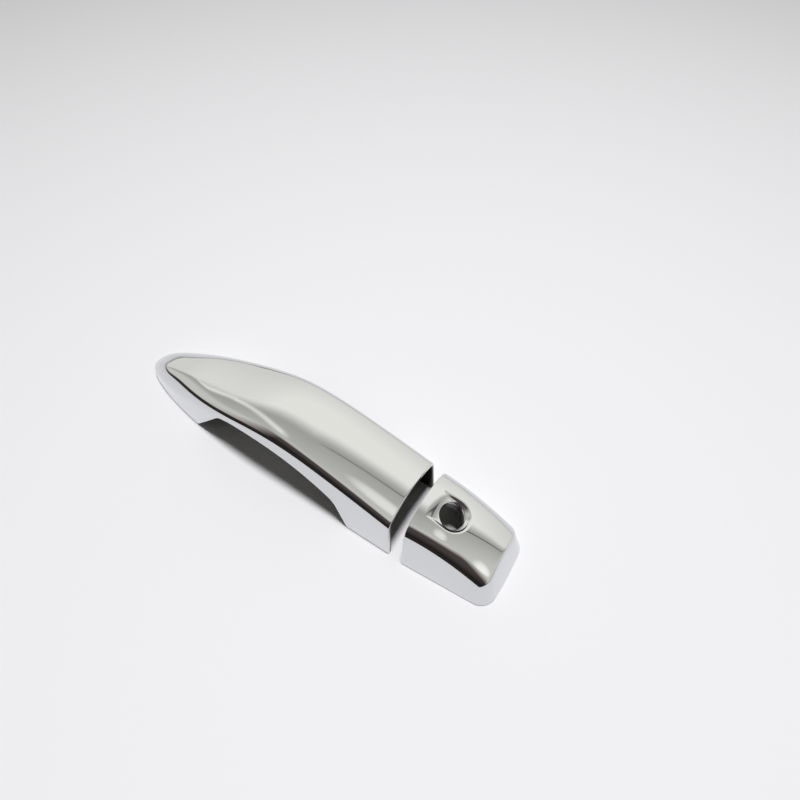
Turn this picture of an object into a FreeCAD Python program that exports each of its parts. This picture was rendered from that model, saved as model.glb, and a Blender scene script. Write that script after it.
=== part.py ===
"""Clip-over door handle cover: a long bowed grip shell and a short keyhole cap that stands behind it.

Millimetres and degrees. +X runs from the nose of the grip to the closed end of the cap, +Z is away
from the door. Both shells are open underneath, where they sit over the handle.
"""
import FreeCAD
import Part
import Sketcher
import math
import os

Vec = FreeCAD.Vector
doc = FreeCAD.newDocument("door_handle_cover")
sheet = doc.addObject("Spreadsheet::Sheet", "dims")

# Driving sizes
SIZES = [
    ("grip_length", 165), ("end_gap", 6.6), ("cap_length", 41.4), ("wall", 2),
    ("grip_half", 19.3), ("leaf_length", 100), ("grip_draft", 3),
    ("rear_shoulder", 5), ("nose_shoulder", 8), ("crown_radius", 36),
    ("rise_nose", 1.2), ("rise_lip", 9.2), ("rise_cheek", 14.8), ("rise_neck", 17.8),
    ("rise_slope", 25.4), ("rise_crest", 32.3), ("rise_haunch", 29), ("rise_rear", 19.8),
    ("arch_front", 118), ("arch_rear", 22.5), ("arch_crest", 27.4), ("arch_crest_at", 74),
    ("arch_front_lean", 48), ("arch_rear_lean", 66),
    ("arch_front_corner", 13), ("arch_bend", 88), ("arch_rear_corner", 9),
    ("cap_half", 19.8), ("cap_half_end", 17.4), ("cap_draft", 6), ("cap_draft_end", 12),
    ("cap_top", 28.2), ("cap_drop", 15.7), ("cap_end_draft", 14), ("cap_end_bow", 1),
    ("cap_corner", 8), ("cap_edge_round", 4), ("cap_shoulder", 9), ("cap_shoulder_lean", 20),
    ("cap_shoulder_half", 17.1), ("cap_shoulder_end", 15.6),
    ("key_at", 13.7), ("key_tilt", 16), ("key_depth", 4.4), ("key_bore", 5.5), ("key_collar", 2.5),
    ("key_mouth", 7.7), ("key_floor", 6.1), ("key_lead", 2.3), ("key_ramp", 6.6),
]
for row, (name, value) in enumerate(SIZES, start=1):
    sheet.set("A%d" % row, name)
    sheet.set("B%d" % row, str(value))
    sheet.setAlias("B%d" % row, name)
doc.recompute()


def d(text):
    """The expression text with each size's name pointed at the sheet."""
    words = {name for name, _ in SIZES}
    out, word = "", ""
    for c in text + " ":
        if c.isalnum() or c == "_":
            word += c
            continue
        out += ("dims." + word if word in words else word) + c
        word = ""
    return out.strip()


def num(text):
    """The value of an expression, as a plain number."""
    value = sheet.evalExpression(d(text))
    return float(getattr(value, "Value", value))


def drive(item, prop, text, unit="mm"):
    """A property of a feature driven by an expression."""
    item.setExpression(prop, "(%s) * 1 %s" % (d(text), unit))


def role(body, name):
    return [f for f in body.Origin.OriginFeatures if f.Role == name][0]


def new_sketch(body, name, plane="XY_Plane", offset=None):
    """A sketch on one of the body's own planes, moved along the plane's normal by an expression."""
    sketch = body.newObject("Sketcher::SketchObject", name)
    sketch.AttachmentSupport = [(role(body, plane), "")]
    sketch.MapMode = "FlatFace"
    if offset:
        sketch.setExpression("AttachmentOffset.Base.z", d(offset))
    return sketch


def bind(sketch, kind, refs, name, text, angle=False):
    """A dimension constraint driven by an expression."""
    value = num(text)
    sketch.addConstraint(Sketcher.Constraint(kind, *refs, math.radians(value) if angle else value))
    sketch.renameConstraint(sketch.ConstraintCount - 1, name)
    drive(sketch, "Constraints." + name, text, "deg" if angle else "mm")


# Laws along the grip, as expressions of the distance from the nose over the grip's length
KNOTS = [(0, "rise_nose"), (0.07, "rise_lip"), (0.16, "rise_cheek"), (0.28, "rise_neck"),
         (0.42, "rise_slope"), (0.59, "rise_crest"), (0.79, "rise_haunch"), (1, "rise_rear")]


def spline_weight(k, at):
    """Share of knot k in a natural cubic spline through the knots, at one place."""
    xs = [x for x, _ in KNOTS]
    ys = [1.0 if i == k else 0.0 for i in range(len(xs))]
    n = len(xs)
    sub, diag, sup, rhs = [0.0] * n, [1.0] * n, [0.0] * n, [0.0] * n
    for i in range(1, n - 1):
        a, b = xs[i] - xs[i - 1], xs[i + 1] - xs[i]
        sub[i], diag[i], sup[i] = a, 2 * (a + b), b
        rhs[i] = 6 * ((ys[i + 1] - ys[i]) / b - (ys[i] - ys[i - 1]) / a)
    for i in range(1, n):
        f = sub[i] / diag[i - 1]
        diag[i] -= f * sup[i - 1]
        rhs[i] -= f * rhs[i - 1]
    m = [0.0] * n
    m[-1] = rhs[-1] / diag[-1]
    for i in range(n - 2, -1, -1):
        m[i] = (rhs[i] - sup[i] * m[i + 1]) / diag[i]
    i = max(j for j in range(n - 1) if j == 0 or xs[j] <= at)
    g = xs[i + 1] - xs[i]
    p, q = xs[i + 1] - at, at - xs[i]
    return ((m[i] * p ** 3 + m[i + 1] * q ** 3) / (6 * g) + (ys[i] / g - m[i] * g / 6) * p
            + (ys[i + 1] / g - m[i + 1] * g / 6) * q)


def rise(part):
    """Height at which the flank turns into the shoulder."""
    terms = ["%.6f * %s" % (spline_weight(k, part), name) for k, (_, name) in enumerate(KNOTS)]
    return "(" + " + ".join(terms).replace("+ -", "- ") + ")"


def leaf(part, inset):
    """Half width at the door face: a leaf that widens over leaf_length and then runs straight."""
    back = "max(0; 1 - %.4f * grip_length / leaf_length)" % part
    return "((grip_half - %s) * (1 - %s^2)^0.55)" % (inset, back)


def grip_section(body, name, part, shift, inset, floor):
    """Closed section across the grip, parallel to the outer skin at the given inset."""
    law = part - shift
    half = leaf(law, inset)
    height = rise(law)
    bend = "min(nose_shoulder + (rear_shoulder - nose_shoulder) * %.4f - %s; 0.55 * %s)" % (part, inset, half)
    crown = "min(crown_radius - %s; 2.2 * %s)" % (inset, half)
    sketch = new_sketch(body, name, "YZ_Plane", "(%.6f - 1) * grip_length" % part)
    w, h, r, c = num(half), num(height), num(bend), num(crown)
    lean = math.radians(num("grip_draft"))
    low = -num(floor)
    edge = w - (h - low) * math.tan(lean)
    yc, zc = edge - r * math.cos(lean), h - r * math.sin(lean)
    root = math.sqrt((c - r) ** 2 - yc ** 2)
    turn = math.atan2(root, yc)
    up = Vec(0, 0, 1)
    sketch.addGeometry([
        Part.LineSegment(Vec(-w, low, 0), Vec(w, low, 0)),
        Part.LineSegment(Vec(w, low, 0), Vec(edge, h, 0)),
        Part.ArcOfCircle(Part.Circle(Vec(yc, zc, 0), up, r), lean, turn),
        Part.ArcOfCircle(Part.Circle(Vec(0, zc - root, 0), up, c), turn, math.pi - turn),
        Part.ArcOfCircle(Part.Circle(Vec(-yc, zc, 0), up, r), math.pi - turn, math.pi - lean),
        Part.LineSegment(Vec(-edge, h, 0), Vec(-w, low, 0))], False)
    sketch.addConstraint([
        Sketcher.Constraint("Coincident", 0, 2, 1, 1), Sketcher.Constraint("Tangent", 1, 2, 2, 1),
        Sketcher.Constraint("Tangent", 2, 2, 3, 1), Sketcher.Constraint("Tangent", 3, 2, 4, 1),
        Sketcher.Constraint("Tangent", 4, 2, 5, 1), Sketcher.Constraint("Coincident", 5, 2, 0, 1),
        Sketcher.Constraint("Symmetric", 0, 1, 0, 2, -2), Sketcher.Constraint("Symmetric", 1, 2, 4, 2, -2),
        Sketcher.Constraint("Equal", 2, 4)])
    bind(sketch, "DistanceY", (0, 2, -1, 1), "floor", floor)
    bind(sketch, "DistanceX", (-1, 1, 0, 2), "half", half)
    bind(sketch, "DistanceY", (0, 2, 1, 2), "rise", "%s + %s" % (height, floor))
    bind(sketch, "Angle", (1,), "lean", "90 + grip_draft", angle=True)
    bind(sketch, "Radius", (2,), "bend", bend)
    bind(sketch, "Radius", (3,), "crown", crown)
    return sketch


OUTER = [0.0022, 0.009, 0.024, 0.055, 0.103, 0.176, 0.279, 0.385, 0.485, 0.585, 0.69, 0.795, 0.9, 1]
INNER = [0.03, 0.045, 0.07, 0.11, 0.176, 0.279, 0.385, 0.485, 0.585, 0.69, 0.795, 0.9, 1.01]


def grip_loft(body, name, parts, shift, inset, floor, kind):
    """A loft through sections of the grip; the shift, which keeps the nose's wall even, fades to the rear."""
    rows = [grip_section(body, "%s_%02d" % (name, i), p, shift * max(0, 1 - p) ** 2, inset, floor)
            for i, p in enumerate(parts)]
    doc.recompute()
    loft = body.newObject("PartDesign::" + kind, name)
    loft.Profile = rows[0]
    loft.Sections = rows[1:]
    for row in rows:
        row.Visibility = False
    doc.recompute()


grip = doc.addObject("PartDesign::Body", "grip_shell")
grip.Label = "grip_shell"
grip_loft(grip, "skin", OUTER, 0, "0", "0", "AdditiveLoft")
grip_loft(grip, "hollow", INNER, 0.018, "wall", "1", "SubtractiveLoft")


def tangent_corner(foot, along, inward, centre, big, small):
    """Centre of the small arc that rounds a straight leg into a big arc, and where it leaves the leg."""
    start = foot + inward * small - centre
    b = start.dot(along)
    reach = -b + math.sqrt(b * b - start.dot(start) + (big - small) ** 2)
    return foot + inward * small + along * reach, foot + along * reach


def angle_of(v):
    return math.atan2(v.y, v.x)


# Hand opening: both long sides are cut by the same arch, so the grip reads as a bar between two feet
arch = new_sketch(grip, "arch", "XZ_Plane")
bend, front_r, rear_r = num("arch_bend"), num("arch_front_corner"), num("arch_rear_corner")
top = Vec(-num("arch_crest_at"), num("arch_crest") - bend, 0)
front_foot, rear_foot = Vec(-num("arch_front"), -1, 0), Vec(-num("arch_rear"), -1, 0)
front_lean, rear_lean = math.radians(num("arch_front_lean")), math.radians(num("arch_rear_lean"))
fc, ft = tangent_corner(front_foot, Vec(math.cos(front_lean), math.sin(front_lean), 0),
                        Vec(math.sin(front_lean), -math.cos(front_lean), 0), top, bend, front_r)
rc, rt = tangent_corner(rear_foot, Vec(-math.cos(rear_lean), math.sin(rear_lean), 0),
                        Vec(-math.sin(rear_lean), -math.cos(rear_lean), 0), top, bend, rear_r)
out = Vec(0, 0, 1)
arch.addGeometry([
    Part.LineSegment(rear_foot, rt),
    Part.ArcOfCircle(Part.Circle(rc, out, rear_r), angle_of(rt - rc), angle_of(rc - top)),
    Part.ArcOfCircle(Part.Circle(top, out, bend), angle_of(rc - top), angle_of(fc - top)),
    Part.ArcOfCircle(Part.Circle(fc, out, front_r), angle_of(fc - top), angle_of(ft - fc)),
    Part.LineSegment(ft, front_foot),
    Part.LineSegment(front_foot, rear_foot)], False)
arch.addConstraint([
    Sketcher.Constraint("Tangent", 0, 2, 1, 1), Sketcher.Constraint("Tangent", 1, 2, 2, 1),
    Sketcher.Constraint("Tangent", 2, 2, 3, 1), Sketcher.Constraint("Tangent", 3, 2, 4, 1),
    Sketcher.Constraint("Coincident", 4, 2, 5, 1), Sketcher.Constraint("Coincident", 5, 2, 0, 1)])
bind(arch, "DistanceY", (4, 2, -1, 1), "below_front", "1")
bind(arch, "DistanceY", (0, 1, -1, 1), "below_rear", "1")
bind(arch, "DistanceX", (4, 2, -1, 1), "front", "arch_front")
bind(arch, "DistanceX", (0, 1, -1, 1), "rear", "arch_rear")
bind(arch, "Angle", (0,), "rear_lean", "180 - arch_rear_lean", angle=True)
bind(arch, "Angle", (4,), "front_lean", "180 + arch_front_lean", angle=True)
bind(arch, "Radius", (1,), "rear_corner", "arch_rear_corner")
bind(arch, "Radius", (3,), "front_corner", "arch_front_corner")
bind(arch, "Radius", (2,), "bend", "arch_bend")
bind(arch, "DistanceX", (2, 3, -1, 1), "crest_at", "arch_crest_at")
bind(arch, "DistanceY", (2, 3, -1, 1), "crest", "arch_bend - arch_crest")
doc.recompute()
opening = grip.newObject("PartDesign::Pocket", "hand_opening")
opening.Profile = arch
opening.Type = "ThroughAll"
opening.Midplane = True
doc.recompute()


# End cap: a plan outline drawn in towards a smaller one above, under a crown that falls to the end and
# turns down over long shoulders at both sides
def cap_outline(body, name, inset, level, rim):
    """Plan outline at a level: straight rim, sides that close in, round corners and a bowed end."""
    half = "(cap_half - tan(cap_draft) * (%s) - %s)" % (level, inset)
    half_end = "(cap_half_end - tan(cap_draft_end) * (%s) - %s)" % (level, inset)
    reach = "(cap_length - tan(cap_end_draft) * (%s) - %s)" % (level, inset)
    closing = "atan((%s - %s) / cap_length)" % (half, half_end)
    bow = "(cap_half^2 / (2 * cap_end_bow))"
    corner = "(cap_corner - %s - (%s) * 0.08)" % (inset, level)
    sketch = new_sketch(body, name, "XY_Plane", level)
    w, back, r, big, turn = num(half), -num(rim), num(corner), num(bow), math.radians(num(closing))
    far, centre = Vec(back, w, 0), Vec(num(reach) - big, 0, 0)
    mid, leave = tangent_corner(far, Vec(math.cos(turn), -math.sin(turn), 0),
                                Vec(-math.sin(turn), -math.cos(turn), 0), centre, big, r)
    swing = angle_of(mid - centre)
    up = Vec(0, 0, 1)
    sketch.addGeometry([
        Part.LineSegment(Vec(back, -w, 0), far),
        Part.LineSegment(far, leave),
        Part.ArcOfCircle(Part.Circle(mid, up, r), swing, math.pi / 2 - turn),
        Part.ArcOfCircle(Part.Circle(centre, up, big), -swing, swing),
        Part.ArcOfCircle(Part.Circle(Vec(mid.x, -mid.y, 0), up, r), turn - math.pi / 2, -swing),
        Part.LineSegment(Vec(leave.x, -leave.y, 0), Vec(back, -w, 0))], False)
    sketch.addConstraint([
        Sketcher.Constraint("Coincident", 0, 2, 1, 1), Sketcher.Constraint("Tangent", 1, 2, 2, 2),
        Sketcher.Constraint("Tangent", 2, 1, 3, 2), Sketcher.Constraint("Tangent", 3, 1, 4, 2),
        Sketcher.Constraint("Tangent", 4, 1, 5, 1), Sketcher.Constraint("Coincident", 5, 2, 0, 1),
        Sketcher.Constraint("Symmetric", 0, 1, 0, 2, -1),
        Sketcher.Constraint("Symmetric", 1, 2, 5, 1, -1),
        Sketcher.Constraint("PointOnObject", 3, 3, -1)])
    bind(sketch, "DistanceX", (0, 2, -1, 1), "rim", rim)
    bind(sketch, "DistanceY", (-1, 1, 0, 2), "half", half)
    bind(sketch, "Angle", (1,), "closing", "-" + closing, angle=True)
    bind(sketch, "Radius", (2,), "corner", corner)
    bind(sketch, "Radius", (3,), "bow", bow)
    bind(sketch, "DistanceX", (3, 3, -1, 1), "bow_centre", "%s - %s" % (bow, reach))
    return sketch


def crown_section(body, name, part, inset):
    """The space above the crown at one place along the cap."""
    top = "(cap_top - cap_drop * %s^2 - %s)" % (part, inset)
    crown = "(crown_radius - %s)" % inset
    side, roof = "(cap_half + 3)", "(cap_top + 12)"
    bend = "(cap_shoulder - %s)" % inset
    foot = "(cap_shoulder_half + (cap_shoulder_end - cap_shoulder_half) * %s - %s)" % (part, inset)
    sketch = new_sketch(body, name, "YZ_Plane", "%s * cap_length" % part)
    t, c, w, z, r, f = num(top), num(crown), num(side), num(roof), num(bend), num(foot)
    lean = math.radians(num("cap_shoulder_lean"))
    yc = f - r * math.cos(lean)
    turn = math.acos(yc / (c - r))
    zc = t - c + (c - r) * math.sin(turn)
    low = zc + r * math.sin(lean)
    tail = low - (w - f) / math.tan(lean)
    up = Vec(0, 0, 1)
    sketch.addGeometry([
        Part.ArcOfCircle(Part.Circle(Vec(0, t - c, 0), up, c), turn, math.pi - turn),
        Part.ArcOfCircle(Part.Circle(Vec(-yc, zc, 0), up, r), math.pi - turn, math.pi - lean),
        Part.LineSegment(Vec(-f, low, 0), Vec(-w, tail, 0)),
        Part.LineSegment(Vec(-w, tail, 0), Vec(-w, z, 0)),
        Part.LineSegment(Vec(-w, z, 0), Vec(w, z, 0)),
        Part.LineSegment(Vec(w, z, 0), Vec(w, tail, 0)),
        Part.LineSegment(Vec(w, tail, 0), Vec(f, low, 0)),
        Part.ArcOfCircle(Part.Circle(Vec(yc, zc, 0), up, r), lean, turn)], False)
    sketch.addConstraint([
        Sketcher.Constraint("Tangent", 0, 2, 1, 1), Sketcher.Constraint("Tangent", 1, 2, 2, 1),
        Sketcher.Constraint("Coincident", 2, 2, 3, 1), Sketcher.Constraint("Coincident", 3, 2, 4, 1),
        Sketcher.Constraint("Coincident", 4, 2, 5, 1), Sketcher.Constraint("Coincident", 5, 2, 6, 1),
        Sketcher.Constraint("Tangent", 6, 2, 7, 1), Sketcher.Constraint("Tangent", 7, 2, 0, 1),
        Sketcher.Constraint("Symmetric", 4, 1, 4, 2, -2), Sketcher.Constraint("Symmetric", 2, 1, 6, 2, -2),
        Sketcher.Constraint("Symmetric", 2, 2, 5, 2, -2), Sketcher.Constraint("Equal", 1, 7),
        Sketcher.Constraint("Vertical", 3)])
    bind(sketch, "Radius", (1,), "bend", bend)
    bind(sketch, "DistanceX", (-1, 1, 6, 2), "foot", foot)
    bind(sketch, "Angle", (6,), "lean", "90 + cap_shoulder_lean", angle=True)
    bind(sketch, "Radius", (0,), "crown", crown)
    bind(sketch, "DistanceY", (0, 3, -1, 1), "centre", "%s - %s" % (crown, top))
    bind(sketch, "DistanceX", (-1, 1, 4, 2), "side", side)
    bind(sketch, "DistanceY", (-1, 1, 4, 2), "roof", roof)
    return sketch


def edges_of(shape, wanted):
    return ["Edge%d" % i for i, e in enumerate(shape.Edges, start=1) if wanted(e)]


def cap_form(body, prefix, inset, floor, rim):
    """The cap's solid form at an inset: drawn-in block, crown and rounded top edge."""
    block = body.newObject("PartDesign::AdditiveLoft", prefix + "_block")
    low = cap_outline(body, prefix + "_foot", inset, "-%s" % floor, rim)
    high = cap_outline(body, prefix + "_head", inset, "cap_top + 2", rim)
    doc.recompute()
    block.Profile = low
    block.Sections = [high]
    doc.recompute()
    rows = [crown_section(body, "%s_sky_%d" % (prefix, i), p, inset)
            for i, p in enumerate([-0.1, 0.2, 0.5, 0.8, 1.1])]
    doc.recompute()
    sky = body.newObject("PartDesign::SubtractiveLoft", prefix + "_crown")
    sky.Profile = rows[0]
    sky.Sections = rows[1:]
    doc.recompute()
    top_edge = edges_of(sky.Shape, lambda e: e.BoundBox.ZMin > 3 and e.BoundBox.XMax > 1)
    round_top = body.newObject("PartDesign::Fillet", prefix + "_top")
    round_top.Base = (sky, top_edge)
    drive(round_top, "Radius", "cap_edge_round - %s" % inset)
    doc.recompute()


def key_sketch(body, name, depth):
    """A sketch square to the key's axis, at a depth below the skin."""
    sketch = new_sketch(body, name)
    sketch.AttachmentOffset = FreeCAD.Placement(Vec(0, 0, 0), FreeCAD.Rotation(Vec(0, 1, 0), 10))
    drive(sketch, "AttachmentOffset.Rotation.Angle", "key_tilt", "deg")
    drive(sketch, "AttachmentOffset.Base.x", "key_at - sin(key_tilt) * (%s)" % depth)
    drive(sketch, "AttachmentOffset.Base.z",
          "cap_top - cap_drop * (key_at / cap_length)^2 - cos(key_tilt) * (%s)" % depth)
    return sketch


def key_outline(body, name, depth, grow):
    """Outline of the key's recess at a depth: a half round towards the closed end, square to the rim."""
    sketch = key_sketch(body, name, depth)
    radius = "(key_mouth - (key_mouth - key_floor) * (%s) / key_depth + %s)" % (depth, grow)
    mouth = "(key_at - key_lead)"
    lead = "(%s - (%s - key_ramp) * (%s) / key_depth + %s)" % (mouth, mouth, depth, grow)
    r, x = num(radius), -num(lead)
    sketch.addGeometry([
        Part.ArcOfCircle(Part.Circle(Vec(0, 0, 0), Vec(0, 0, 1), r), -math.pi / 2, math.pi / 2),
        Part.LineSegment(Vec(0, r, 0), Vec(x, r, 0)),
        Part.LineSegment(Vec(x, r, 0), Vec(x, -r, 0)),
        Part.LineSegment(Vec(x, -r, 0), Vec(0, -r, 0))], False)
    sketch.addConstraint([
        Sketcher.Constraint("Tangent", 0, 2, 1, 1), Sketcher.Constraint("Coincident", 1, 2, 2, 1),
        Sketcher.Constraint("Coincident", 2, 2, 3, 1), Sketcher.Constraint("Tangent", 3, 2, 0, 1),
        Sketcher.Constraint("Coincident", 0, 3, -1, 1), Sketcher.Constraint("Horizontal", 1),
        Sketcher.Constraint("Vertical", 2)])
    bind(sketch, "Radius", (0,), "radius", radius)
    bind(sketch, "DistanceX", (2, 1, -1, 1), "lead", lead)
    return sketch


def key_recess(body, name, grow, floor):
    """Scooped recess round the key: slanted sides and a ramp that comes down from the rim."""
    rows = [key_outline(body, name + "_mouth", "-1", grow), key_outline(body, name + "_floor", floor, grow)]
    doc.recompute()
    scoop = body.newObject("PartDesign::SubtractiveLoft", name)
    scoop.Profile = rows[0]
    scoop.Sections = rows[1:]
    doc.recompute()


def key_hole(body, name, radius, depth):
    """Round hole along the key's axis."""
    mouth = key_sketch(body, name + "_mouth", "-1")
    mouth.addGeometry(Part.Circle(Vec(0, 0, 0), Vec(0, 0, 1), num(radius)), False)
    mouth.addConstraint(Sketcher.Constraint("Coincident", 0, 3, -1, 1))
    bind(mouth, "Radius", (0,), "bore", radius)
    doc.recompute()
    hole = body.newObject("PartDesign::Pocket", name)
    hole.Profile = mouth
    hole.Type = "Length"
    drive(hole, "Length", depth)
    doc.recompute()


core = doc.addObject("PartDesign::Body", "cap_core")
cap_form(core, "core", "wall", "1", "2")
key_recess(core, "pan", "1.25 * wall", "key_depth + wall")
key_hole(core, "collar", "key_bore + 0.8 * wall", "key_depth + wall + key_collar + 1")

cap = doc.addObject("PartDesign::Body", "key_cap")
cap.Label = "key_cap"
cap_form(cap, "cap", "0", "0", "0")
shell = cap.newObject("PartDesign::Boolean", "cap_hollow")
shell.setObjects([core])
shell.Type = "Cut"
doc.recompute()
key_recess(cap, "key_recess", "0", "key_depth")
key_hole(cap, "key_bore", "key_bore", "key_depth + wall + key_collar + 2")

# Places: the whole stands centred on the origin
drive(grip, "Placement.Base.x", "(grip_length - end_gap - cap_length) / 2")
drive(cap, "Placement.Base.x", "(grip_length - end_gap - cap_length) / 2 + end_gap")
doc.recompute()

os.makedirs("parts", exist_ok=True)
for body in (grip, cap):
    for item in [body] + list(body.Group):
        if "Invalid" in item.State or "Error" in item.State:
            raise RuntimeError("%s failed: %s" % (item.Name, item.State))
    if body.Shape.isNull() or not body.Shape.isValid():
        raise RuntimeError(body.Label + " is not a valid solid")
    body.Shape.exportStep("parts/%s.step" % body.Label)
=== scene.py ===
"""Looks of the chrome door handle cover: a bowed grip shell and a keyhole cap on a pale table."""
import math

import bmesh
import bpy
import numpy as np
from mathutils import Matrix, Vector


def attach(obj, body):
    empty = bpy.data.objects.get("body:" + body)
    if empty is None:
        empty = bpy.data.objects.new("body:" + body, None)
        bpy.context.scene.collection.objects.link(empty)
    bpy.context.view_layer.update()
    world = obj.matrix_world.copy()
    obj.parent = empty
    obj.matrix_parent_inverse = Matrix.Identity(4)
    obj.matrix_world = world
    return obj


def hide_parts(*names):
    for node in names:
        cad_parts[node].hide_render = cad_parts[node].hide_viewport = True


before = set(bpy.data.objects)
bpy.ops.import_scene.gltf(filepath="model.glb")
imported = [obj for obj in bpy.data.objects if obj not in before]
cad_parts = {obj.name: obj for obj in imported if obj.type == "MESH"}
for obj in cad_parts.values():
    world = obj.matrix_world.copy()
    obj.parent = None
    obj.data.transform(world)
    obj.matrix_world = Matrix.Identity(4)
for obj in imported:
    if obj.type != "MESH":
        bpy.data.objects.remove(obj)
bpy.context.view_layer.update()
scene = bpy.context.scene
MM = 0.001

# Sizes in millimetres and degrees, as the solids have them. The nose's flank and shoulder, the cap's crown
# and the depth of the recess are finished further here, as the plating's reflections show them
LENGTH, GAP, CAP_LENGTH, WALL = 165.0, 6.6, 41.4, 2.0
GRIP_HALF, LEAF_LENGTH, GRIP_DRAFT = 19.3, 100.0, 3.0
REAR_SHOULDER, NOSE_SHOULDER, CROWN = 5.0, 8.0, 36.0
RISE = [(0, 1.2), (0.07, 9.2), (0.16, 14.8), (0.28, 20.2), (0.42, 25.4), (0.59, 32.15), (0.79, 29), (1, 19.8)]
ARCH_FRONT, ARCH_REAR, ARCH_CREST, ARCH_CREST_AT = 118.0, 22.5, 27.4, 74.0
ARCH_FRONT_LEAN, ARCH_REAR_LEAN, ARCH_BEND = 48.0, 66.0, 88.0
ARCH_FRONT_CORNER, ARCH_REAR_CORNER = 13.0, 9.0
CAP_HALF, CAP_HALF_END, CAP_DRAFT, CAP_DRAFT_END = 19.8, 17.4, 6.0, 12.0
CAP_TOP, CAP_DROP, CAP_END_DRAFT, CAP_END_BOW = 28.2, 15.7, 14.0, 1.0
CAP_CORNER, CAP_EDGE_ROUND, CAP_SHOULDER, CAP_SHOULDER_LEAN = 8.0, 3.4, 9.0, 20.0
CAP_SHOULDER_HALF, CAP_SHOULDER_END, CAP_CROWN = 17.1, 15.6, 30.0
KEY_AT, KEY_TILT, KEY_DEPTH, KEY_BORE, KEY_FOOT = 13.7, 16.0, 2.3, 5.5, 8.9
KEY_MOUTH, KEY_FLOOR, KEY_LEAD, KEY_RAMP = 7.7, 6.1, 2.3, 6.6
SHIFT = (LENGTH - GAP - CAP_LENGTH) / 2
NOSE_BLUNT, NOSE_FROM, NOSE_FULL, NOSE_LOWER, NOSE_ROUNDER = 0.36, 0.46, 0.08, 0.34, 7.0
RIM_ROUND, DRAWN_IN = 0.45, 1.8

# Meshes: stations and rows of the grip's sheet, columns and rows of the cap's
STATIONS, GRIP_ROWS = 300, 121
CLOSED_COLUMNS, OPEN_COLUMNS = 320, 160
OUTER_ROWS, INNER_ROWS = (40, 84), (12, 30)
CAP_RIM_ROUND, KEY_LIP, KEY_RING, HEART_DEPTH, RECESS_REACH, LOWEST_SWING = 0.4, 0.5, 10.5, 22, 16, 170
WAY_HALVINGS, SWING_HALVINGS, WAY_LENGTH = 26, 22, 60.0

# Room: places on the ceiling are x/z and y/z of a ray's way, a brightness of 1 is white
JOINT_OFFSET, JOINT_SLOPE, JOINT_HALF = 0.052, 0.58, 0.03
CEILING, FAR_SHEET, NEAR_SHEET, FAR_FADE = 0.5, 0.6, 0.26, 0.22
GRIP_GLOW, CAP_GLOW = (0.27, -0.31, 0.15, 0.17), (1.38, -0.31, 0.4, 0.3)
UNDER_TABLE, DIFFUSE_CUT = 0.05, 0.82
TABLE_RADIUS, TABLE_DROP = 1.6, 0.0002
LAMP_PLACE, LAMP_SIZE, LAMP_POWER = (0.12, 0.0, 1.3), 0.22, 14.7


# Small helpers for node trees
class Value:
    """A number that changes over the surface: sums and products of these place nodes in a tree."""

    def __init__(self, tree, socket):
        self.tree, self.socket = tree, socket

    def _node(self, operation, *terms, clamp=False):
        node = self.tree.nodes.new("ShaderNodeMath")
        node.operation = operation
        node.use_clamp = clamp
        for slot, term in zip(node.inputs, terms):
            if isinstance(term, Value):
                self.tree.links.new(term.socket, slot)
            else:
                slot.default_value = term
        return Value(self.tree, node.outputs[0])

    def __add__(self, other): return self._node("ADD", self, other)
    def __radd__(self, other): return self._node("ADD", other, self)
    def __sub__(self, other): return self._node("SUBTRACT", self, other)
    def __rsub__(self, other): return self._node("SUBTRACT", other, self)
    def __mul__(self, other): return self._node("MULTIPLY", self, other)
    def __rmul__(self, other): return self._node("MULTIPLY", other, self)
    def __truediv__(self, other): return self._node("DIVIDE", self, other)
    def __pow__(self, other): return self._node("POWER", self, other)
    def at_least(self, other): return self._node("MAXIMUM", self, other)
    def at_most(self, other): return self._node("MINIMUM", self, other)
    def above(self, other): return self._node("GREATER_THAN", self, other)
    def root(self): return self._node("SQRT", self.at_least(0))
    def sin(self): return self._node("SINE", self)
    def cos(self): return self._node("COSINE", self)
    def size(self): return self._node("ABSOLUTE", self)
    def whole(self): return self._node("ROUND", self)
    def angle_from(self, other): return self._node("ARCTAN2", self, other)

    def span(self, start, end):
        """0 up to start, 1 from end on, and even between."""
        share = (self - start) / (end - start)
        return self._node("ADD", share, 0.0, clamp=True)

    def smooth(self):
        """An even run of 0 to 1 made gentle at both ends."""
        return self * self * (3 - self * 2)


def linear(srgb):
    """A screen colour of 0 to 255 as Blender's linear one."""
    return [((c / 255 + 0.055) / 1.055) ** 2.4 if c > 10 else c / 3294.6 for c in srgb] + [1]


# Grip shell: one rule gives every point of its skin and of its inside
def rise_law(part):
    """Height of the flank's top, a natural cubic curve through the named heights."""
    at = np.array([k for k, _ in RISE])
    n = len(at)
    rows = np.zeros((n + 2, n + 2))
    rows[:n, 0], rows[:n, 1] = 1, at
    rows[:n, 2:] = np.maximum(at[:, None] - at[None, :], 0) ** 3
    rows[n, 2:], rows[n + 1, 2:] = 1, at
    level, slope, *bends = np.linalg.solve(rows, [h for _, h in RISE] + [0, 0])
    law = level + part * float(slope)
    for k, bend in zip(at, bends):
        law = law + (part - float(k)).at_least(0) ** 3 * float(bend)
    return law


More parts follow.
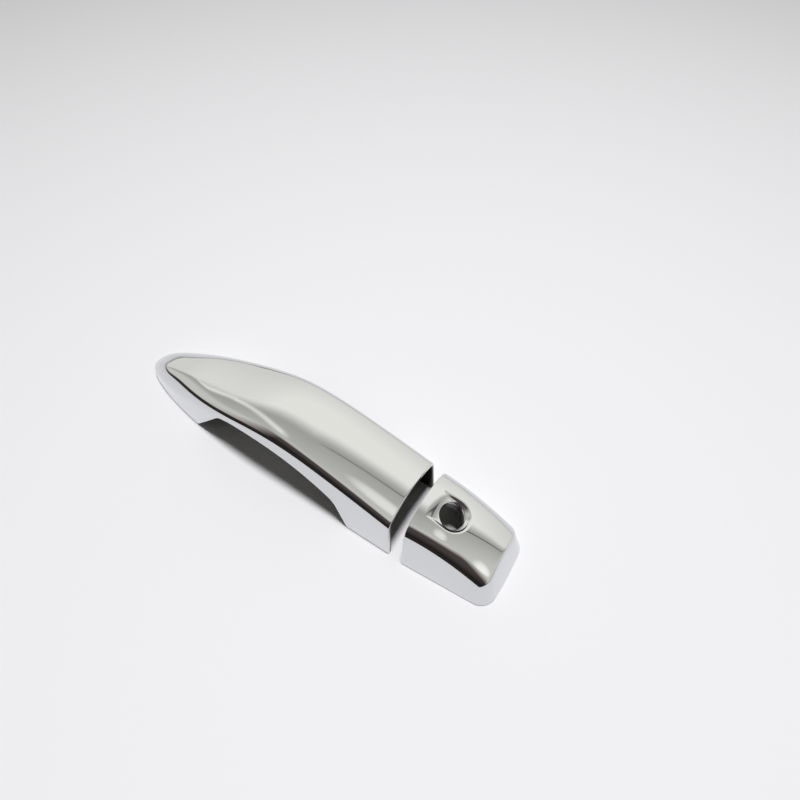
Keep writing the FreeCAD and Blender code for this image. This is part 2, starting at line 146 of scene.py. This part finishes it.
def arch_law(x):
    """Height of the hand opening over the door face: a leg, a corner, the long arc, a corner and a leg."""
    top = Vector((-ARCH_CREST_AT, ARCH_CREST - ARCH_BEND))

    def corner(foot, lean, turn, small):
        along = Vector((turn * math.cos(lean), math.sin(lean)))
        inward = Vector((turn * math.sin(lean), -math.cos(lean)))
        start = foot + inward * small - top
        b = start.dot(along)
        reach = -b + math.sqrt(b * b - start.dot(start) + (ARCH_BEND - small) ** 2)
        centre = foot + inward * small + along * reach
        leave = foot + along * reach
        join = top + (centre - top).normalized() * ARCH_BEND
        return centre, leave.x, join.x

    front, front_leave, front_join = corner(Vector((-ARCH_FRONT, 0)), math.radians(ARCH_FRONT_LEAN), 1,
                                            ARCH_FRONT_CORNER)
    rear, rear_leave, rear_join = corner(Vector((-ARCH_REAR, 0)), math.radians(ARCH_REAR_LEAN), -1,
                                         ARCH_REAR_CORNER)

    def circle(centre, radius):
        return (radius ** 2 - (x - centre.x) ** 2).root() + centre.y

    runs = [((x + ARCH_FRONT) * math.tan(math.radians(ARCH_FRONT_LEAN)), front_leave),
            (circle(front, ARCH_FRONT_CORNER), front_join),
            (circle(top, ARCH_BEND), rear_join),
            (circle(rear, ARCH_REAR_CORNER), rear_leave),
            ((0 - x - ARCH_REAR) * math.tan(math.radians(ARCH_REAR_LEAN)), 1e3)]
    height = runs[0][0]
    for (_, before), (run, _) in zip(runs, runs[1:]):
        height = height + (run - height) * x.above(before)
    return height.at_least(0)


def grip_rule(stations, rows):
    """Geometry node tree of the shell: a sheet of stations by rows, bent round outside and back inside."""
    tree = bpy.data.node_groups.new("grip_rule", "GeometryNodeTree")
    face = tree.interface
    for name, kind, value in [("Length", "NodeSocketFloat", LENGTH), ("Half Width", "NodeSocketFloat", GRIP_HALF),
                              ("Leaf Length", "NodeSocketFloat", LEAF_LENGTH), ("Wall", "NodeSocketFloat", WALL),
                              ("Edge Round", "NodeSocketFloat", RIM_ROUND), ("Crown Radius", "NodeSocketFloat", CROWN),
                              ("Skin", "NodeSocketMaterial", None)]:
        socket = face.new_socket(name=name, in_out="INPUT", socket_type=kind)
        if value is not None:
            socket.default_value = value
    face.new_socket(name="Shell", in_out="OUTPUT", socket_type="NodeSocketGeometry")
    enter, leave = tree.nodes.new("NodeGroupInput"), tree.nodes.new("NodeGroupOutput")
    length, half_width, leaf, wall, edge, crown_radius = [Value(tree, enter.outputs[i]) for i in range(6)]

    sheet = tree.nodes.new("GeometryNodeMeshGrid")
    for slot, value in zip(sheet.inputs, (1.0, 1.0, stations, 2 * rows)):
        slot.default_value = value
    place = tree.nodes.new("GeometryNodeInputPosition")
    split = tree.nodes.new("ShaderNodeSeparateXYZ")
    tree.links.new(place.outputs[0], split.inputs[0])
    along, around = Value(tree, split.outputs[0]) + 0.5, Value(tree, split.outputs[1]) + 0.5

    # Stations meet both feet of the hand opening, close up at the nose and round over at the rear rim
    foot, heel = 1 - ARCH_FRONT / (LENGTH - NOSE_BLUNT), 1 - ARCH_REAR / (LENGTH - NOSE_BLUNT)
    rim = along.span(0.965, 0.988)
    last = along.span(0.988, 1)
    swing = rim * (math.pi / 2)
    part = (along.span(0, 0.36) ** 2 * foot + along.span(0.36, 0.84) * (heel - foot)
            + along.span(0.84, 0.965) * (1 - edge / length - heel) + swing.sin() * edge / length)
    turned = edge * (1 - swing.cos())
    row = (around * (2 * rows - 1)).whole()
    inside = row.above(rows - 0.5)
    across = (row * 2 / (rows - 1) - 1) * (1 - inside) + (1 - (row - rows) * 2 / (rows - 1)) * inside
    side = across.above(0) * 2 - 1
    up = 1 - across.size()
    out = 1 - inside * 2

    # Section: half rim, edge round, flank, shoulder, crown
    lean = math.radians(GRIP_DRAFT)
    inset = inside * wall + out * (turned + last * (wall / 2 - edge))
    law = part - inside * (1 - part) ** 2 * 0.018
    back = (1 - law * length / leaf).at_least(0)
    full = (1 - back * back).at_least(0) ** 0.55
    half = ((half_width - inset) * full).at_least(0.001)
    soft = part.span(NOSE_FROM, NOSE_FULL).smooth()
    top = rise_law(law.at_least(0)) * (1 - soft * NOSE_LOWER)
    x = (part - 1) * (length - NOSE_BLUNT)
    low = arch_law(x).at_most((top - 1).at_least(0))
    bend = NOSE_SHOULDER + part * (REAR_SHOULDER - NOSE_SHOULDER) + soft * NOSE_ROUNDER - inset
    bend = (bend ** -8 + (half * 0.8) ** -8) ** -0.125
    crown = ((crown_radius - inset) ** -12 + (half * 2.6) ** -12) ** (-1 / 12)
    start = low + edge
    foot_y = half - start * math.tan(lean)
    middle = (half_width - wall / 2) * full - start * math.tan(lean)
    shoulder_y = half - top * math.tan(lean) - bend * math.cos(lean)
    turn = ((crown - bend) ** 2 - shoulder_y ** 2).root().angle_from(shoulder_y)
    half_rim, round_over = up.span(0, 0.02), up.span(0.02, 0.07) * (math.pi / 2)
    flank, shoulder, roof = up.span(0.07, 0.36), up.span(0.36, 0.66), up.span(0.66, 1)
    bent = lean + shoulder * (turn - lean)
    roofed = turn + roof * (math.pi / 2 - turn)
    y = (middle + half_rim * (foot_y - out * edge - middle) + out * edge * round_over.sin()
         - flank * (top - start) * math.tan(lean) + bend * (bent.cos() - math.cos(lean))
         + crown * (roofed.cos() - turn.cos()))
    z = (low + edge * (1 - round_over.cos()) + flank * (top - start)
         + bend * (bent.sin() - math.sin(lean)) + crown * (roofed.sin() - turn.sin()))

    put = tree.nodes.new("ShaderNodeCombineXYZ")
    for slot, value in zip(put.inputs, ((x + SHIFT) * MM, y * side * MM, z * MM)):
        tree.links.new(value.socket, slot)
    move = tree.nodes.new("GeometryNodeSetPosition")
    weld = tree.nodes.new("GeometryNodeMergeByDistance")
    weld.inputs["Distance"].default_value = 2e-6
    real = tree.nodes.new("GeometryNodeRealizeInstances")
    paint = tree.nodes.new("GeometryNodeSetMaterial")
    tree.links.new(put.outputs[0], move.inputs["Position"])
    mark = tree.nodes.new("GeometryNodeStoreNamedAttribute")
    mark.data_type, mark.domain = "FLOAT", "POINT"
    mark.inputs["Name"].default_value = "inside"
    tree.links.new(inside.socket, mark.inputs["Value"])
    tree.links.new(sheet.outputs["Mesh"], mark.inputs["Geometry"])
    tree.links.new(mark.outputs[0], move.inputs["Geometry"])
    tree.links.new(move.outputs[0], weld.inputs[0])
    tree.links.new(weld.outputs[0], real.inputs[0])
    tree.links.new(real.outputs[0], paint.inputs["Geometry"])
    tree.links.new(enter.outputs["Skin"], paint.inputs["Material"])
    tree.links.new(paint.outputs[0], leave.inputs[0])
    return tree


def plain_mesh(source, name):
    """The result of an object's modifiers as a new object with a plain mesh, faces outwards and smooth."""
    graph = bpy.context.evaluated_depsgraph_get()
    mesh = bpy.data.meshes.new_from_object(source.evaluated_get(graph))
    bpy.data.objects.remove(source)
    form = bmesh.new()
    form.from_mesh(mesh)
    bmesh.ops.remove_doubles(form, verts=form.verts, dist=1e-6)
    bmesh.ops.recalc_face_normals(form, faces=form.faces)
    form.to_mesh(mesh)
    form.free()
    mesh.name = name
    mesh.shade_smooth()
    piece = bpy.data.objects.new(name, mesh)
    scene.collection.objects.link(piece)
    return piece


def make_grip(skin):
    carrier = bpy.data.objects.new("grip_carrier", bpy.data.meshes.new("grip_carrier"))
    scene.collection.objects.link(carrier)
    modifier = carrier.modifiers.new("rule", "NODES")
    tree = grip_rule(STATIONS, GRIP_ROWS)
    modifier.node_group = tree
    for socket in tree.interface.items_tree:
        if socket.name == "Skin":
            modifier[socket.identifier] = skin
    return plain_mesh(carrier, "grip_cover")


# End cap: a sheet of columns round the key's axis, laid over the skin and back along the inside
def blend(a, b, radius, cosine):
    """Distance to a rounded edge between two skins, from the distances to each and their normals' cosine."""
    p, q = a + radius, b + radius
    spread = np.sqrt(np.maximum(p * p + q * q - 2 * p * q * cosine, 0) / np.maximum(1 - cosine ** 2, 1e-4)) - radius
    between = (p > q * cosine) & (q > p * cosine) & (cosine < 0.999)
    return np.where(between, spread, np.maximum(a, b))


def slope_of(field, point, here, step=0.02):
    """Unit gradient of a distance field."""
    rows = []
    for axis in range(3):
        moved = point.copy()
        moved[..., axis] += step
        rows.append((field(moved) - here) / step)
    rows = np.stack(rows, axis=-1)
    return rows / np.maximum(np.linalg.norm(rows, axis=-1, keepdims=True), 1e-9)


def flank_distance(point):
    """Signed distance to the cap's side walls, which close in and lean."""
    x, y, z = point[..., 0], np.abs(point[..., 1]), point[..., 2]
    near = CAP_HALF - math.tan(math.radians(CAP_DRAFT)) * z
    far = CAP_HALF_END - math.tan(math.radians(CAP_DRAFT_END)) * z
    lean = CAP_DRAFT + (CAP_DRAFT_END - CAP_DRAFT) * np.clip(x / CAP_LENGTH, 0, 1)
    return (y - near + (near - far) * x / CAP_LENGTH) * np.cos(np.radians(lean))


def end_distance(point):
    """Signed distance to the bowed closed end."""
    bow = CAP_HALF ** 2 / (2 * CAP_END_BOW)
    lean = math.radians(CAP_END_DRAFT)
    reach = CAP_LENGTH - math.tan(lean) * point[..., 2]
    return (point[..., 0] - reach + bow - np.sqrt(bow ** 2 - point[..., 1] ** 2)) * math.cos(lean)


def crown_distance(point):
    """Signed distance to the crown with its long shoulders and their tails."""
    part = point[..., 0] / CAP_LENGTH
    y, lean = np.abs(point[..., 1]), math.radians(CAP_SHOULDER_LEAN)
    top = CAP_TOP - CAP_DROP * part ** 2
    foot = CAP_SHOULDER_HALF + (CAP_SHOULDER_END - CAP_SHOULDER_HALF) * part - DRAWN_IN * part * (1 - part)
    yc = foot - CAP_SHOULDER * math.cos(lean)
    turn = np.arccos(yc / (CAP_CROWN - CAP_SHOULDER))
    zc = top - CAP_CROWN + (CAP_CROWN - CAP_SHOULDER) * np.sin(turn)
    dy, dz = y - yc, point[..., 2] - zc
    angle = np.arctan2(dz, dy)
    roof = np.hypot(y, point[..., 2] - top + CAP_CROWN) - CAP_CROWN
    bend = np.hypot(dy, dz) - CAP_SHOULDER
    tail = dy * math.cos(lean) + dz * math.sin(lean) - CAP_SHOULDER
    fall = np.cos(np.arctan(2 * CAP_DROP * part / CAP_LENGTH))
    return np.where(angle > turn, roof, np.where(angle > lean, bend, tail)) * fall


def wall_distance(point):
    side, end = flank_distance(point), end_distance(point)
    cosine = np.sum(slope_of(flank_distance, point, side) * slope_of(end_distance, point, end), axis=-1)
    return blend(side, end, CAP_CORNER - 0.08 * point[..., 2], cosine)


def cap_distance(point):
    """Signed distance to the whole skin, open rims left out."""
    wall, crown = wall_distance(point), crown_distance(point)
    cosine = np.sum(slope_of(wall_distance, point, wall) * slope_of(crown_distance, point, crown), axis=-1)
    return blend(wall, crown, CAP_EDGE_ROUND, cosine)


def meet(start, way, level):
    """Where straight ways from inside leave the skin that lies at a level below the outer one."""
    low, high = np.zeros(way.shape[:-1]), np.full(way.shape[:-1], WAY_LENGTH)
    for _ in range(WAY_HALVINGS):
        half = (low + high) / 2
        inside = cap_distance(start + way * half[..., None]) < level
        low, high = np.where(inside, half, low), np.where(inside, high, half)
    return start + way * low[..., None]


def recess_height(u, v, grow, deepest):
    """Height of the recess's own surface over the key's plane: floor, slanted sides, ramp from the rim."""
    radius = np.where(u > 0, np.hypot(u, v), np.abs(v))
    side = (radius - KEY_FLOOR - grow) / (KEY_MOUTH - KEY_FLOOR)
    ramp = (-u - KEY_RAMP - grow) / (KEY_AT - KEY_LEAD - KEY_RAMP)
    rise = soft_max(side, ramp, 0.03) * KEY_DEPTH - KEY_DEPTH
    return soft_max(rise, np.full_like(rise, -deepest), 0.7)


def soft_max(a, b, width):
    """The larger of two heights, with their meeting rounded over a width."""
    share = np.clip(0.5 + (a - b) / (4 * width), 0, 1)
    return a * share + b * (1 - share) + 2 * width * share * (1 - share)


def make_cap(skin):
    tilt = math.radians(KEY_TILT)
    axis = np.array([math.sin(tilt), 0, math.cos(tilt)])
    ahead, across = np.array([math.cos(tilt), 0, -math.sin(tilt)]), np.array([0, 1.0, 0])
    seat = np.array([KEY_AT, 0, CAP_TOP - CAP_DROP * (KEY_AT / CAP_LENGTH) ** 2])
    heart = seat - axis * HEART_DEPTH
    edge, lip = CAP_RIM_ROUND, KEY_LIP
    collar = KEY_BORE + 0.8 * WALL

    def columns(level):
        """Angles round the key, with a column on each foot of the open rim."""
        foot = np.array([edge, 0.0, edge])
        foot[1] = CAP_HALF + level - math.tan(math.radians(CAP_DRAFT)) * edge
        corner = math.atan2((foot - heart) @ across, (foot - heart) @ ahead)
        closed = np.linspace(-corner, corner, CLOSED_COLUMNS, endpoint=False)
        return np.concatenate([closed, np.linspace(corner, 2 * math.pi - corner, OPEN_COLUMNS, endpoint=False)])

    def sheet(level, inner, rows, grow, deepest):
        """Points from the key outwards: rows square to the key first, then ways from the heart."""
        near_rows, far_rows = rows
        turn = columns(level)
        way = np.cos(turn)[:, None] * ahead + np.sin(turn)[:, None] * across
        radius = np.linspace(inner, KEY_RING, near_rows)
        start = heart + way[:, None] * radius[None, :, None]
        near = meet(start, np.broadcast_to(axis, start.shape), level)
        last = near[:, -1] - heart
        low = np.arctan2(KEY_RING, last @ axis)
        high = np.full_like(low, math.radians(LOWEST_SWING))
        first = low.copy()
        for _ in range(SWING_HALVINGS):
            half = (low + high) / 2
            ray = np.cos(half)[:, None] * axis + np.sin(half)[:, None] * way
            point = meet(np.broadcast_to(heart, ray.shape), ray, level)
            inside = (point[:, 0] > edge) & (point[:, 2] > edge)
            low, high = np.where(inside, half, low), np.where(inside, high, half)
        share = np.linspace(0, 1, far_rows + 1)[1:]
        swing = first[:, None] + (low - first)[:, None] * share
        ray = np.cos(swing)[..., None] * axis + np.sin(swing)[..., None] * way[:, None]
        far = meet(np.broadcast_to(heart, ray.shape), ray, level)
        points = np.concatenate([near, far], axis=1)
        u, v, w = (points - seat) @ ahead, (points - seat) @ across, (points - seat) @ axis
        sunk = -soft_max(-w, -recess_height(u, v, grow, deepest), 0.5)
        sunk = np.where(np.hypot(u, v) < RECESS_REACH, sunk, w)
        return points + (sunk - w)[..., None] * axis, way

    outer, way = sheet(0.0, KEY_BORE + lip, OUTER_ROWS, 0.0, KEY_DEPTH)
    inner, way_in = sheet(-WALL, collar, INNER_ROWS, 1.25 * WALL, KEY_DEPTH + WALL)

    def hoop(radius, depth, way):
        return (seat - axis * depth + way * radius)[:, None]

    bore_top, inner_top = KEY_DEPTH + lip, KEY_DEPTH + WALL + 0.6
    rows = [hoop(KEY_BORE + lip * (1 - math.sin(a)), KEY_DEPTH + lip * (1 - math.cos(a)), way)
            for a in np.linspace(0, math.pi / 2, 6)[1:]]
    rows += [hoop(KEY_BORE, bore_top + (KEY_FOOT - 0.2 - bore_top) * share, way) for share in (0.3, 0.6, 1)]
    rows += [hoop(KEY_BORE + 0.2, KEY_FOOT, way), hoop(collar - 0.2, KEY_FOOT, way_in),
             hoop(collar, KEY_FOOT - 0.2, way_in), hoop(collar, inner_top, way_in)]

    # Rim: rounded over from the skin, flat across the wall, rounded back to the inside
    cut = np.zeros_like(way)
    cut[:CLOSED_COLUMNS, 2] = -1
    cut[CLOSED_COLUMNS:, 0] = -1
    cut[[0, CLOSED_COLUMNS]] = (-1, 0, -1)
    inward = inner[:, -1] - outer[:, -1]
    inward -= np.sum(inward * cut, axis=1, keepdims=True) / np.sum(cut * cut, axis=1, keepdims=True) * cut
    inward /= np.linalg.norm(inward, axis=1, keepdims=True)
    rounds = np.linspace(0, math.pi / 2, 4)[1:]
    over = [(outer[:, -1] + edge * (cut * math.sin(a) + inward * (1 - math.cos(a))))[:, None] for a in rounds]
    back = [(inner[:, -1] + edge * (cut * math.sin(a) - inward * (1 - math.cos(a))))[:, None] for a in rounds[::-1]]
    points = np.concatenate([outer[:, ::-1]] + rows + [inner] + back + over[::-1], axis=1)
    inside = np.zeros(points.shape[:2])
    inside[:, outer.shape[1] + 5:-6] = 1

    many, deep = points.shape[:2]
    i, j = np.meshgrid(np.arange(many), np.arange(deep), indexing="ij")
    i2, j2 = (i + 1) % many, (j + 1) % deep
    faces = np.stack([i * deep + j, i2 * deep + j, i2 * deep + j2, i * deep + j2], axis=-1).reshape(-1, 4)
    points[..., 0] += SHIFT + GAP
    mesh = bpy.data.meshes.new("cap_cover")
    mesh.from_pydata((points.reshape(-1, 3) * MM).tolist(), [], faces.tolist())
    layer = mesh.attributes.new("inside", "FLOAT", "POINT")
    layer.data.foreach_set("value", inside.reshape(-1))
    piece = bpy.data.objects.new("cap_cover", mesh)
    scene.collection.objects.link(piece)
    piece = plain_mesh(piece, "cap_cover")
    piece.data.materials.append(skin)
    return piece


# Materials
def plating_marks_and_shade():
    """Shader group of the plating: painted shade and duller plating inside the shell, polish marks and the faint waves
    of the moulding.
    """
    group = bpy.data.node_groups.new("plating_marks_and_shade", "ShaderNodeTree")
    face = group.interface
    for name, value in [("Wave Height", 0.00002), ("Mark Strength", 0.03)]:
        face.new_socket(name=name, in_out="INPUT", socket_type="NodeSocketFloat").default_value = value
    for name, kind in [("Colour", "NodeSocketColor"), ("Roughness", "NodeSocketFloat"),
                       ("Normal", "NodeSocketVector")]:
        face.new_socket(name=name, in_out="OUTPUT", socket_type=kind)
    enter, leave = group.nodes.new("NodeGroupInput"), group.nodes.new("NodeGroupOutput")
    place = group.nodes.new("ShaderNodeTexCoord")
    depth = group.nodes.new("ShaderNodeAttribute")
    depth.attribute_name = "inside"
    inside = Value(group, depth.outputs["Fac"])

    def noise(scale, detail):
        node = group.nodes.new("ShaderNodeTexNoise")
        node.inputs["Scale"].default_value, node.inputs["Detail"].default_value = scale, detail
        group.links.new(place.outputs["Object"], node.inputs["Vector"])
        return Value(group, node.outputs["Fac"])

    cloud, fine = noise(45, 2), noise(900, 3)
    marks = (fine - 0.5).at_least(0) * 2
    rough = 0.02 + (cloud * 0.02) + marks * Value(group, enter.outputs["Mark Strength"]) + inside * 0.33
    group.links.new(rough.socket, leave.inputs["Roughness"])
    # Painted shade: the inside of the shell gets a near-black brown colour for the shade that falls in it.
    tint = group.nodes.new("ShaderNodeMix")
    tint.data_type = "RGBA"
    tint.inputs["A"].default_value = linear((214, 215, 217))
    tint.inputs["B"].default_value = linear((44, 40, 39))
    group.links.new(inside.socket, tint.inputs["Factor"])
    group.links.new(tint.outputs["Result"], leave.inputs["Colour"])
    bump = group.nodes.new("ShaderNodeBump")
    bump.inputs["Strength"].default_value = 1
    group.links.new(enter.outputs["Wave Height"], bump.inputs["Distance"])
    group.links.new(noise(70, 1).socket, bump.inputs["Height"])
    group.links.new(bump.outputs[0], leave.inputs["Normal"])
    return group


def chrome():
    """Bright plating outside, a near mirror; duller inside, where the bath reaches less, and darkened there with
    painted shade.
    """
    material = bpy.data.materials.new("bright_plating")
    material.use_nodes = True
    tree = material.node_tree
    shader = tree.nodes["Principled BSDF"]
    shader.inputs["Metallic"].default_value = 1
    marks_and_shade = tree.nodes.new("ShaderNodeGroup")
    marks_and_shade.node_tree = plating_marks_and_shade()
    for source, target in (("Colour", "Base Color"), ("Roughness", "Roughness"), ("Normal", "Normal")):
        tree.links.new(marks_and_shade.outputs[source], shader.inputs[target])
    return material


skin = chrome()
grip = make_grip(skin)
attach(grip, "root")
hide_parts("grip_shell")
cap = make_cap(skin)
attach(cap, "root")
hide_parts("key_cap")


# Table, room and light
def studio():
    """World of a small light room: pale ceiling with a joint and soft lamps, a dark side towards -Y."""
    world = bpy.data.worlds.new("light_room")
    scene.world = world
    world.use_nodes = True
    tree = world.node_tree
    back = tree.nodes["Background"]
    direction = tree.nodes.new("ShaderNodeTexCoord")
    split = tree.nodes.new("ShaderNodeSeparateXYZ")
    tree.links.new(direction.outputs["Generated"], split.inputs[0])
    x, y, z = [Value(tree, split.outputs[i]) for i in range(3)]
    over = z.at_least(0.03)
    cx, cy = x / over, y / over
    height = z.angle_from((x * x + y * y).root()) * (180 / math.pi)
    heading = y.angle_from(x) * (180 / math.pi)

    def lamp_at(right, ahead, wide, deep):
        """Glow of a soft lamp at a place on the ceiling, 1 in its middle."""
        return (1 - ((cx - right) / wide) ** 2 - ((cy - ahead) / deep) ** 2).at_least(0).smooth()

    # Ceiling: two pale sheets that meet in a thin joint; the far one is lighter, and both fade to the walls
    square_to_joint = 1 / math.hypot(1, JOINT_SLOPE)
    past_joint = (cy + JOINT_OFFSET - cx.at_least(-0.1) * JOINT_SLOPE) * square_to_joint
    far_sheet = past_joint.span(0.02, 0.34).smooth()
    near_sheet = (0 - past_joint).span(0, 0.65)
    ceiling = CEILING + far_sheet * FAR_SHEET + near_sheet * NEAR_SHEET
    ceiling = ceiling - height.span(45, 8) * far_sheet * FAR_FADE
    joint = (1 - past_joint.size() / JOINT_HALF).at_least(0).smooth() * cx.span(-0.05, 0.06) * cx.span(3.2, 1.8)
    ceiling = ceiling * (1 - joint * (0.4 + cx.span(0.2, 0.6) * 0.4))
    row = 1 - ((cy + 0.34 + (cx + 0.45) * 0.245) / 0.12).size()
    row = row.at_least(0).smooth() * cx.span(-0.3, -0.45) * cx.span(-2.3, -1.9)
    glow = (lamp_at(*GRIP_GLOW) * 0.4).at_least(lamp_at(*CAP_GLOW) * 0.5)
    ceiling = ceiling + glow.at_least(row * 0.45)

    # Dark side of the room, where the camera stands: black at the table, dim brown above
    wall = heading.span(-152, -118) * heading.span(-22, -42)
    wall = wall * height.span(52, 40)
    dim = 0.01 + height.span(0, 26) * 0.07 + height.span(36, 52) * 0.1
    level = ceiling * (1 - wall) + dim * wall
    below = height.span(1.0, -1.0)
    level = level * (1 - below) + below * UNDER_TABLE

    tint = tree.nodes.new("ShaderNodeMix")
    tint.data_type = "RGBA"
    tint.inputs["A"].default_value = (1.0, 1.0, 0.93, 1)
    tint.inputs["B"].default_value = (1.0, 0.84, 0.8, 1)
    tree.links.new(wall.socket, tint.inputs["Factor"])
    seen = tree.nodes.new("ShaderNodeLightPath")
    plain = tree.nodes.new("ShaderNodeMix")
    plain.data_type = "RGBA"
    plain.inputs["B"].default_value = linear((239, 239, 240))
    tree.links.new(seen.outputs["Is Camera Ray"], plain.inputs["Factor"])
    tree.links.new(tint.outputs["Result"], plain.inputs["A"])
    tree.links.new(plain.outputs["Result"], back.inputs[0])
    shown, spread = Value(tree, seen.outputs["Is Camera Ray"]), Value(tree, seen.outputs["Is Diffuse Ray"])
    tree.links.new((level * (1 - shown) * (1 - spread * DIFFUSE_CUT) + shown).socket, back.inputs[1])


def table_paint():
    """Pale board; for glossy rays it is painted near black past a line, a painted reflection of the dark side of the
    room.
    """
    material = bpy.data.materials.new("pale_board")
    material.use_nodes = True
    tree = material.node_tree
    shader = tree.nodes["Principled BSDF"]
    shader.inputs["Specular IOR Level"].default_value = 0.05
    place, split = tree.nodes.new("ShaderNodeTexCoord"), tree.nodes.new("ShaderNodeSeparateXYZ")
    path, mix = tree.nodes.new("ShaderNodeLightPath"), tree.nodes.new("ShaderNodeMix")
    grain = tree.nodes.new("ShaderNodeTexNoise")
    grain.inputs["Scale"].default_value = 6
    tree.links.new(place.outputs["Object"], grain.inputs["Vector"])
    tree.links.new(place.outputs["Object"], split.inputs[0])
    x, y = Value(tree, split.outputs[0]), Value(tree, split.outputs[1])
    # Painted reflection: past these lines the board is near black for glossy rays only, so the plating mirrors a dark
    # band there.
    painted_dark = (x * 0.536 - y * 0.844).span(0.15, 0.17).at_least((0 - y).span(0.070, 0.078))
    painted_dark = painted_dark * Value(tree, path.outputs["Is Glossy Ray"])
    mix.data_type = "RGBA"
    mix.inputs["A"].default_value = linear((240, 240, 243))
    mix.inputs["B"].default_value = linear((40, 34, 33))
    tree.links.new(painted_dark.socket, mix.inputs["Factor"])
    tree.links.new(mix.outputs["Result"], shader.inputs["Base Color"])
    rough = Value(tree, grain.outputs["Fac"]) * 0.1 + 0.75
    tree.links.new(rough.socket, shader.inputs["Roughness"])
    return material


def stage():
    table = bpy.data.meshes.new("table")
    form = bmesh.new()
    bmesh.ops.create_circle(form, cap_ends=True, segments=96, radius=TABLE_RADIUS)
    form.to_mesh(table)
    form.free()
    floor = bpy.data.objects.new("table", table)
    floor.location.z = -TABLE_DROP
    scene.collection.objects.link(floor)
    table.materials.append(table_paint())
    studio()
    lamp = bpy.data.lights.new("soft_top", "AREA")
    lamp.shape, lamp.size, lamp.energy = "DISK", LAMP_SIZE, LAMP_POWER
    light = bpy.data.objects.new("soft_top", lamp)
    light.location = LAMP_PLACE
    light.rotation_euler = (-light.location).to_track_quat("-Z", "Y").to_euler()
    light.visible_glossy = False
    scene.collection.objects.link(light)
    scene.view_settings.view_transform = "Standard"


stage()

# Camera of the photograph: high over the cap's end, with the picture's middle a little below its axis
lens = bpy.data.cameras.new("camera")
lens.lens, lens.sensor_width = 29.75, 36
lens.shift_x, lens.shift_y = -0.01875, -0.1375
lens.clip_start = 0.01
camera = bpy.data.objects.new("camera", lens)
azimuth, height = math.radians(32.42), math.radians(45.33)
forward = Vector((-math.sin(azimuth) * math.cos(height), math.cos(azimuth) * math.cos(height), -math.sin(height)))
right = Vector((math.cos(azimuth), math.sin(azimuth), 0))
up = right.cross(forward)
turn = Matrix((right, up, -forward)).transposed().to_4x4()
camera.matrix_world = Matrix.Translation((0.1325, -0.1144, 0.2842)) @ turn
scene.collection.objects.link(camera)
scene.camera = camera
